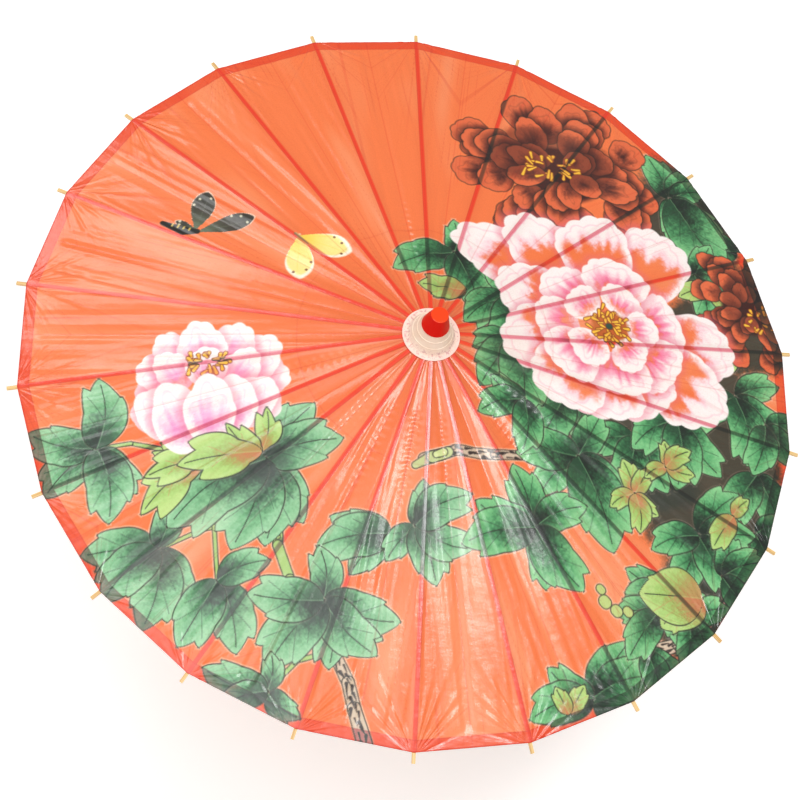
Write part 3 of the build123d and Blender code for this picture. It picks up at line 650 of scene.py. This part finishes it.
def dyed_and_shaded(art, radius, aside, panel):
    """The printed colours with what the cloth adds and with painted light and shade: pale streaks of oil
    bloom and painted sheen, painted shade in the creases, glued strips and a hem darkened partly by painted
    shade, and a thread's painted shadow.
    """
    colour, painted = art.colour, art.painted[:, None]
    middle = (radius * sin(half_panel) - abs(aside)) * np.sign(aside)
    streaks = noise(middle / STREAK[0], radius / STREAK[1], panel + 7)
    patches = noise(middle / PATCH[0], radius / PATCH[1], panel + 9)
    # pale streaks laid into the colour as oil bloom and as painted sheen
    bloom_and_sheen = smooth(0.45, 1.0, 0.5 * streaks + 0.55 * patches)[:, None] * (0.40 - 0.30 * painted)
    colour = colour * (1 - bloom_and_sheen) + np.array(BLOOM_AND_SHEEN) * bloom_and_sheen
    hemmed = smooth(rim_radius - HEM_WIDTH - 0.0004, rim_radius - HEM_WIDTH + 0.0004, radius)
    glued = smooth(STRIP_HALF_WIDTH + 0.0003, STRIP_HALF_WIDTH - 0.0003, abs(aside))
    backed = np.maximum(glued, hemmed)
    pale = smooth(0.45, 0.85, colour.mean(axis=1))[:, None]
    on_paint = np.array(GLUED_AND_SHADED_DARK) * (1 - pale) + np.array(GLUED_AND_SHADED_PALE) * pale
    # darkens the glued strips and the hem: the glue and the doubled cloth, with painted shade where rib and
    # fold block the light from behind
    for share, bare in ((glued, GLUED_AND_SHADED), (hemmed * (1 - glued), HEMMED_AND_SHADED)):
        under = np.array(bare) * (1 - painted) + on_paint * painted
        colour = colour * (1 - share[:, None] * (1 - under))
    # painted shade: dark lines in the creases and the folds from the rib tips, at the edges of the strip,
    # the hem and the rolled rim, along the middle crease, and the thread's painted shadow
    long_crease = 1 - abs(2 * noise(middle / 0.007 + radius / 0.9, 3.7 * panel, 2) - 1)
    to_tip, from_tip = tip_axes(radius, aside)
    tip_crease = 1 - abs(2 * noise(from_tip * 26, to_tip / 0.5, panel) - 1)
    tip_lines = 0.9 * smooth(0.88, 1.0, tip_crease) * np.exp(-to_tip / 0.07) * smooth(0, 0.02, to_tip)
    lines = (
        0.5 * smooth(0.93, 1.0, long_crease) * smooth(0.35, 0.65, patches) * (1 - glued)
        + tip_lines * (1 - glued)
        + 1.0 * np.exp(-(((abs(aside) - STRIP_HALF_WIDTH) / EDGE_LINE) ** 2)) * (aside > 0)
        + 0.9 * np.exp(-(((radius - rim_radius + HEM_WIDTH) / EDGE_LINE) ** 2))
        + 0.7 * smooth(rim_radius - 0.0022, rim_radius - 0.0008, radius)
        + 0.4 * np.exp(-(((radius - thread_radius) / 0.0006) ** 2))
        + 0.5 * np.exp(-((middle / 0.0006) ** 2))
    )
    return colour * (1 - np.clip(lines, 0, 1)[:, None] * np.array((0.07, 0.26, 0.26))), backed


def cloth_piece(name, rib, cloth, colours, backed, material):
    """A piece of the cover beside or over a rib, in its printed colours with their painted sheen and shade,
    riding on that rib.
    """
    radius, aside, depth, faces = cloth
    x, y = on_cover(azimuths[rib], radius, aside)
    panel = np.where(aside > 0, rib, (rib - 1) % rib_count).astype(float)
    lift = relief(radius, aside, panel) * (abs(aside) > STRIP_HALF_WIDTH)
    z = face_height(np.minimum(radius, rim_radius)) - depth + lift
    made = mesh_of(name, np.column_stack((x, y, z)), faces, material)
    rgba = np.column_stack((linear(np.clip(colours, 0, 1)), np.ones(len(x))))
    # the print attribute also carries the painted sheen and the painted shade
    made.data.color_attributes.new("print", "FLOAT_COLOR", "POINT").data.foreach_set("color", rgba.ravel())
    made.data.attributes.new("backed", "FLOAT", "POINT").data.foreach_set("value", backed)
    corners = np.zeros(len(made.data.loops), np.int64)
    made.data.loops.foreach_get("vertex_index", corners)
    flat = made.data.uv_layers.new(name="cloth")
    flat.data.foreach_set("uv", np.column_stack((aside, radius))[corners].ravel())
    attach(made, f"rib_{rib + 1:02d}")
    return made


def pleat(piece):
    """Gives a piece beside a rib its own copy of its mesh."""
    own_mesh(piece)


def tube(start, end, radius):
    """Points and faces of a thin thread from start to end."""
    start, end = Vector(start), Vector(end)
    turn = (end - start).to_track_quat("Z", "Y")
    angles = [2 * pi * n / THREAD_SIDES for n in range(THREAD_SIDES)]
    ring = [turn @ Vector((cos(a), sin(a), 0)) * radius for a in angles]
    points = [start + p for p in ring] + [end + p for p in ring]
    nexts = [(n, (n + 1) % THREAD_SIDES) for n in range(THREAD_SIDES)]
    faces = [(n, m, m + THREAD_SIDES) for n, m in nexts]
    faces += [(n, m + THREAD_SIDES, n + THREAD_SIDES) for n, m in nexts]
    return points, faces


class Shader:
    """A material under construction: node makers over one node tree that ends in a Principled shader."""

    def __init__(self, name, colour, roughness, **sockets):
        self.material = bpy.data.materials.new(name)
        self.material.use_nodes = True
        self.tree = self.material.node_tree
        self.skin = self.tree.nodes["Principled BSDF"]
        self.skin.inputs["Base Color"].default_value = (*linear(colour), 1)
        self.skin.inputs["Roughness"].default_value = roughness
        for socket, value in sockets.items():
            self.skin.inputs[socket.replace("_", " ").title().replace("Ior", "IOR")].default_value = value

    def node(self, kind, inputs=(), **settings):
        made = self.tree.nodes.new("ShaderNode" + kind)
        for setting, value in settings.items():
            setattr(made, setting, value)
        for socket, value in dict(inputs).items():
            if isinstance(value, bpy.types.NodeSocket):
                self.tree.links.new(value, made.inputs[socket])
            else:
                made.inputs[socket].default_value = value
        return made.outputs[0]

    def link(self, value, socket):
        self.tree.links.new(value, self.skin.inputs[socket])

    def object_place(self):
        return self.node("TexCoord").node.outputs["Object"]

    def axes(self, place):
        """X, Y and Z of a place."""
        return self.node("SeparateXYZ", {0: place}).node.outputs

    def from_axis(self, x, y):
        """Distance from the Z axis."""
        return self.math("SQRT", self.math("ADD", self.math("MULTIPLY", x, x), self.math("MULTIPLY", y, y)))

    def scaled(self, place, *scale):
        return self.node("Mapping", {"Vector": place, "Scale": scale})

    def math(self, operation, *values):
        return self.node("Math", dict(enumerate(values)), operation=operation)

    def between(self, value, low, high, to_low=0.0, to_high=1.0):
        inputs = {"Value": value, "From Min": low, "From Max": high, "To Min": to_low, "To Max": to_high}
        return self.node("MapRange", inputs)

    def ramp(self, value, *stops):
        """A colour ramp through (place, sRGB colour) stops."""
        made = self.node("ValToRGB", {0: value})
        elements = made.node.color_ramp.elements
        while len(elements) < len(stops):
            elements.new(0.5)
        for element, (place, colour) in zip(elements, stops):
            element.position = place
            element.color = (*linear(colour), 1)
        return made

    def noise(self, place, scale, detail=3.0, roughness=0.55):
        inputs = {"Vector": place, "Scale": scale, "Detail": detail, "Roughness": roughness}
        return self.node("TexNoise", inputs)

    def waves(self, place, scale, distortion, direction):
        inputs = {"Vector": place, "Scale": scale, "Distortion": distortion}
        return self.node("TexWave", inputs, bands_direction=direction)

    def times(self, first, second):
        """One colour multiplied by another."""
        inputs = {0: 1.0, 6: first, 7: second}
        return self.node("Mix", inputs, data_type="RGBA", blend_type="MULTIPLY").node.outputs[2]

    def mix(self, share, first, second):
        """A share of the second colour, given in sRGB, over the first."""
        inputs = {0: share, 6: first, 7: (*linear(second), 1)}
        return self.node("Mix", inputs, data_type="RGBA").node.outputs[2]

    def bump(self, height, strength, distance=0.0005, below=None):
        inputs = {"Height": height, "Strength": strength, "Distance": distance}
        if below is not None:
            inputs["Normal"] = below
        return self.node("Bump", inputs)


def cloth_material():
    """Oiled cloth: printed colour with its painted sheen and shade, fine weave, crinkles that catch light,
    and light that passes through.
    """
    paper = Shader(
        "oiled_cloth", GROUND, 0.36, specular_ior_level=0.35, coat_weight=0.90, coat_roughness=0.20
    )
    place = paper.node("UVMap", uv_map="cloth")
    printed = paper.node("VertexColor", layer_name="print")
    fibres = paper.scaled(place, 900, 500, 1)
    mottle = paper.ramp(paper.noise(fibres, 1.0, 3, 0.5), (0.25, (0.965, 0.95, 0.94)), (0.75, (1, 1, 1)))
    shown = paper.times(printed, mottle)
    paper.link(shown, "Base Color")
    paper.link(paper.between(paper.noise(place, 60, 3), 0.3, 0.7, 0.28, 0.46), "Roughness")
    yarns = [paper.waves(place, 220, 0.4, direction) for direction in ("X", "Y")]
    weave = paper.bump(paper.math("ADD", *yarns), 0.10, 0.00008)
    crinkle = paper.bump(paper.noise(paper.scaled(place, 150, 10, 1), 1.0, 3, 0.5), 0.4, 0.0007, weave)
    crinkle = paper.bump(paper.noise(paper.scaled(place, 60, 90, 1), 1.0, 3, 0.5), 0.30, 0.0010, crinkle)
    paper.link(crinkle, "Normal")
    paper.link(crinkle, "Coat Normal")
    through = paper.tree.nodes.new("ShaderNodeBsdfTranslucent")
    paper.tree.links.new(shown, through.inputs["Color"])
    mixed = paper.tree.nodes.new("ShaderNodeMixShader")
    backed = paper.node("Attribute", attribute_name="backed").node.outputs["Fac"]
    paper.tree.links.new(paper.between(backed, 0, 1, 0.32, 0.10), mixed.inputs[0])
    paper.tree.links.new(paper.skin.outputs[0], mixed.inputs[1])
    paper.tree.links.new(through.outputs[0], mixed.inputs[2])
    paper.tree.links.new(mixed.outputs[0], paper.tree.nodes["Material Output"].inputs["Surface"])
    return paper.material


def bamboo_material():
    """Split bamboo: fibres that run outwards, dark rings where the culm's joints were, and an oily skin."""
    cane = Shader("split_bamboo", (0.90, 0.74, 0.48), 0.42, coat_weight=0.15, coat_roughness=0.3)
    x, y, z = cane.axes(cane.object_place())
    radius = cane.from_axis(x, y)
    level = cane.math("ADD", z, cane.math("MULTIPLY", radius, cover_slope))
    inputs = {
        0: cane.math("MULTIPLY", cane.math("DIVIDE", x, radius), 160.0),
        1: cane.math("MULTIPLY", cane.math("DIVIDE", y, radius), 160.0),
        2: cane.math("ADD", cane.math("MULTIPLY", level, 900.0), cane.math("MULTIPLY", radius, 14.0)),
    }
    fibres = cane.noise(cane.node("CombineXYZ", inputs), 1.0, 4, 0.6)
    shades = ((0.25, (0.76, 0.57, 0.32)), (0.5, (0.90, 0.74, 0.48)), (0.8, (0.97, 0.86, 0.64)))
    tone = cane.ramp(fibres, *shades)
    ring = cane.math("SINE", cane.math("MULTIPLY", radius, 2 * pi / RIB_JOINT))
    joints = cane.ramp(ring, (0.985, (1, 1, 1)), (1.0, (0.72, 0.58, 0.42)))
    cane.link(cane.times(tone, joints), "Base Color")
    cane.link(cane.bump(fibres, 0.25, 0.0003), "Normal")
    return cane.material


def turned_wood_material(name, pale, dark, roughness, coat):
    """Turned wood: long grain up the shaft with fine pores, and faint rings from the lathe."""
    wood = Shader(name, pale, roughness, coat_weight=coat, coat_roughness=0.2)
    place = wood.object_place()
    grain = wood.noise(wood.scaled(place, 420, 420, 16), 1.0, 5, 0.6)
    broad = wood.noise(wood.scaled(place, 90, 90, 7), 1.0, 2)
    mixed = wood.math("ADD", wood.math("MULTIPLY", grain, 0.6), wood.math("MULTIPLY", broad, 0.4))
    wood.link(wood.ramp(mixed, (0.3, dark), (0.7, pale)), "Base Color")
    lathe = wood.waves(place, 400, 1.0, "Z")
    wood.link(wood.bump(wood.math("ADD", grain, wood.math("MULTIPLY", lathe, 0.3)), 0.2, 0.0002), "Normal")
    return wood.material


def pole_material():
    """A bamboo pole: long fibres and a pale ring with a dark line at each joint of the culm."""
    pole = Shader("bamboo_pole", (0.84, 0.66, 0.40), 0.32, coat_weight=0.4, coat_roughness=0.2)
    place = pole.object_place()
    fibres = pole.noise(pole.scaled(place, 700, 700, 12), 1.0, 5, 0.6)
    tone = pole.ramp(fibres, (0.3, (0.70, 0.50, 0.26)), (0.7, (0.88, 0.70, 0.44)))
    height = pole.axes(place)["Z"]
    wave = pole.math("SINE", pole.math("MULTIPLY", height, 2 * pi / POLE_JOINT))
    joints = pole.ramp(wave, (0.980, (1, 1, 1)), (0.992, (1.0, 0.94, 0.80)), (0.9985, (0.45, 0.30, 0.16)))
    pole.link(pole.times(tone, joints), "Base Color")
    pole.link(pole.bump(fibres, 0.15, 0.0002), "Normal")
    return pole.material


def cap_material():
    """Cream cap with a faint printed border of pink and grey dabs near its brim."""
    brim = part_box("crown_cap")[1].x
    cap = Shader("cream_cap", (0.97, 0.93, 0.86), 0.45, coat_weight=0.1, coat_roughness=0.3)
    place = cap.object_place()
    x, y, _ = cap.axes(place)
    radius = cap.from_axis(x, y)
    inner_edge = cap.between(radius, brim - 0.0080, brim - 0.0062)
    band = cap.math("MULTIPLY", inner_edge, cap.between(radius, brim - 0.0012, brim - 0.0022))
    dabs = cap.between(cap.noise(place, 420, 3, 0.6), 0.50, 0.62, 0.0, 0.6)
    spots = cap.math("MULTIPLY", band, dabs)
    tone = cap.ramp(cap.noise(place, 120, 2), (0.3, (0.97, 0.89, 0.81)), (0.7, (0.94, 0.84, 0.74)))
    blush = cap.between(radius, brim - 0.009, brim, 0.0, 0.75)
    blushed = cap.mix(blush, tone, (0.98, 0.80, 0.76))
    cap.link(cap.mix(spots, blushed, (0.74, 0.46, 0.50)), "Base Color")
    cap.link(cap.bump(cap.noise(place, 260, 3), 0.12, 0.0002), "Normal")
    return cap.material


def finial_material():
    """Red lacquer with its top face painted a warmer orange: painted light, where light from above falls on
    it.
    """
    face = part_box("finial")[1].z
    red = Shader(
        "red_lacquer", (0.88, 0.03, 0.0), 0.35, specular_ior_level=0.3, coat_weight=0.2, coat_roughness=0.1
    )
    height = red.axes(red.object_place())["Z"]
    # painted light: the top face is lighter and more orange, as where light from above falls on it
    top = red.between(height, face - 0.0006, face - 0.0002)
    red.link(red.ramp(top, (0.0, (0.87, 0.02, 0.0)), (1.0, (0.95, 0.24, 0.0))), "Base Color")
    return red.material


def thread_material():
    """Twisted red cotton."""
    twine = Shader("red_cotton", (0.74, 0.22, 0.14), 0.8, sheen_weight=0.3)
    twist = twine.waves(twine.object_place(), 500, 0.5, "DIAGONAL")
    twine.link(twine.ramp(twist, (0.2, (0.58, 0.14, 0.09)), (0.8, (0.80, 0.28, 0.18))), "Base Color")
    twine.link(twine.bump(twist, 0.4, 0.0002), "Normal")
    return twine.material


def wire_material():
    """Drawn steel wire with faint length lines."""
    steel = Shader("drawn_wire", (0.66, 0.65, 0.62), 0.3, metallic=1.0)
    steel.link(steel.between(steel.noise(steel.object_place(), 400, 3), 0.3, 0.7, 0.24, 0.44), "Roughness")
    return steel.material


def finish_nodes(names, material):
    """Gives CAD nodes a better material."""
    for name in names:
        node = frame["nodes"][name]
        node.data.materials.clear()
        node.data.materials.append(material)


# cover: the same half panel and strip of cloth for every rib, painted once and shared out
cloth = cloth_material()
rows = rows_of_cloth()
share, radius, depth, faces = laid_out(rows, 0)
aside = STRIP_HALF_WIDTH + share * (np.minimum(radius, rim_radius) * sin(half_panel) - STRIP_HALF_WIDTH)
strip_rows = [(at, STRIP_COLUMNS, below) for at, _, below in rows]
strip_share, strip_radius, strip_depth, strip_faces = laid_out(strip_rows, -1)
kinds = {
    "strip": (strip_radius, strip_share * STRIP_HALF_WIDTH, strip_depth, strip_faces[:, ::-1]),
    "left": (radius, aside, depth, faces[:, ::-1]),
    "right": (radius, -aside, depth, faces),
}
laid = [(rib, kind) for rib in range(rib_count) for kind in kinds]
plan_x, plan_y = np.hstack([on_cover(azimuths[rib], *kinds[kind][:2]) for rib, kind in laid]) / rim_radius
art = paint(
    plan_x * cos(PRINT_TURN) + plan_y * sin(PRINT_TURN),
    plan_y * cos(PRINT_TURN) - plan_x * sin(PRINT_TURN),
)
all_radius, all_aside = np.hstack([kinds[kind][:2] for _, kind in laid])
all_panels = np.concatenate([(rib - (kinds[kind][1] < 0)) % rib_count for rib, kind in laid]).astype(float)
colours, backed = dyed_and_shaded(art, all_radius, all_aside, all_panels)

start = 0
pieces = {}
for rib, kind in laid:
    stop = start + len(kinds[kind][0])
    name = f"cover_{rib + 1:02d}_{kind}"
    pieces[rib, kind] = cloth_piece(name, rib, kinds[kind], colours[start:stop], backed[start:stop], cloth)
    start = stop

twine = thread_material()
for rib, azimuth in enumerate(azimuths):
    for kind, side in (("left", 1), ("right", -1)):
        gore = pieces[rib, kind]
        pleat(gore)
        points, sides = [], []
        for at, height, thick in thread_rings:
            root = point_on_cover(azimuth, at, side * THREAD_START, height)
            tip = point_on_cover(azimuth, at, side * at * sin(half_panel), height)
            ring, quads = tube(root, tip, thick)
            sides += [tuple(len(points) + n for n in face) for face in quads]
            points += ring
        threads = mesh_of(f"threads_{rib + 1:02d}_{kind}", points, sides, twine)
        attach(threads, f"rib_{rib + 1:02d}")
        pleat(threads)
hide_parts("cover")
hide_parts("joint_thread", "rim_thread")

# better materials for the CAD nodes
bamboo = bamboo_material()
arms = [name for name in frame["nodes"] if name.startswith(("rib_", "stretcher_"))]
finish_nodes(arms, bamboo)
pale_wood = turned_wood_material("pale_turned_wood", (0.88, 0.74, 0.52), (0.72, 0.53, 0.32), 0.4, 0.2)
finish_nodes(["top_hub", "runner"], pale_wood)
stained_wood = turned_wood_material("stained_turned_wood", (0.70, 0.42, 0.22), (0.46, 0.23, 0.10), 0.3, 0.5)
finish_nodes(["handle"], stained_wood)
finish_nodes(["shaft"], pole_material())
finish_nodes(["hub_wire", "hub_pin", "runner_wire", "catch_spring"], wire_material())
finish_nodes(["crown_cap"], cap_material())
finish_nodes(["finial"], finial_material())

# stage, light and camera
scene = bpy.context.scene
floor_paint = Shader("floor_paint", (0.97, 0.97, 0.97), 0.9, emission_strength=FLOOR_GLOW)
floor_paint.skin.inputs["Emission Color"].default_value = (1, 1, 1, 1)
floor_corners = ((-1, -1), (1, -1), (1, 1), (-1, 1))
floor = mesh_of(
    "floor",
    [(x * FLOOR_HALF, y * FLOOR_HALF, cad_low.z - FLOOR_GAP) for x, y in floor_corners],
    [(0, 1, 2), (0, 2, 3)],
    floor_paint.material,
)


def look_from(azimuth, elevation, distance, target, roll=0.0):
    """Matrix of something that looks at a target from a direction, turned about its own line of sight."""
    a, e = radians(azimuth), radians(elevation)
    away = Vector((cos(e) * cos(a), cos(e) * sin(a), sin(e)))
    turn = (-away).to_track_quat("-Z", "Y").to_matrix().to_4x4()
    place = Matrix.Translation(Vector(target) + away * distance)
    return place @ turn @ Matrix.Rotation(radians(roll), 4, "Z")


def soft_light(name, azimuth, elevation, distance, size, power):
    """A large square light that faces the cover."""
    light = bpy.data.lights.new(name, "AREA")
    light.size = size
    light.energy = power
    lamp = bpy.data.objects.new(name, light)
    lamp.matrix_world = look_from(azimuth, elevation, distance, CAMERA_TARGET)
    scene.collection.objects.link(lamp)


soft_light("key", azimuth=-110, elevation=62, distance=2.6, size=1.8, power=33)
soft_light("overhead", azimuth=18, elevation=76, distance=2.6, size=0.6, power=22)
soft_light("side", azimuth=150, elevation=48, distance=2.8, size=0.8, power=12)

scene.world = bpy.data.worlds.new("studio")
scene.world.use_nodes = True
background = scene.world.node_tree.nodes["Background"].inputs
background["Color"].default_value = (1, 1, 1, 1)
background["Strength"].default_value = WORLD_GLOW
scene.view_settings.view_transform = "Standard"

camera_data = bpy.data.cameras.new("camera")
camera_data.lens = CAMERA_LENS
camera_data.sensor_width = CAMERA_SENSOR
camera = bpy.data.objects.new("camera", camera_data)
camera.matrix_world = look_from(
    CAMERA_AZIMUTH, CAMERA_ELEVATION, CAMERA_DISTANCE, CAMERA_TARGET, CAMERA_ROLL
)
scene.collection.objects.link(camera)
scene.camera = camera
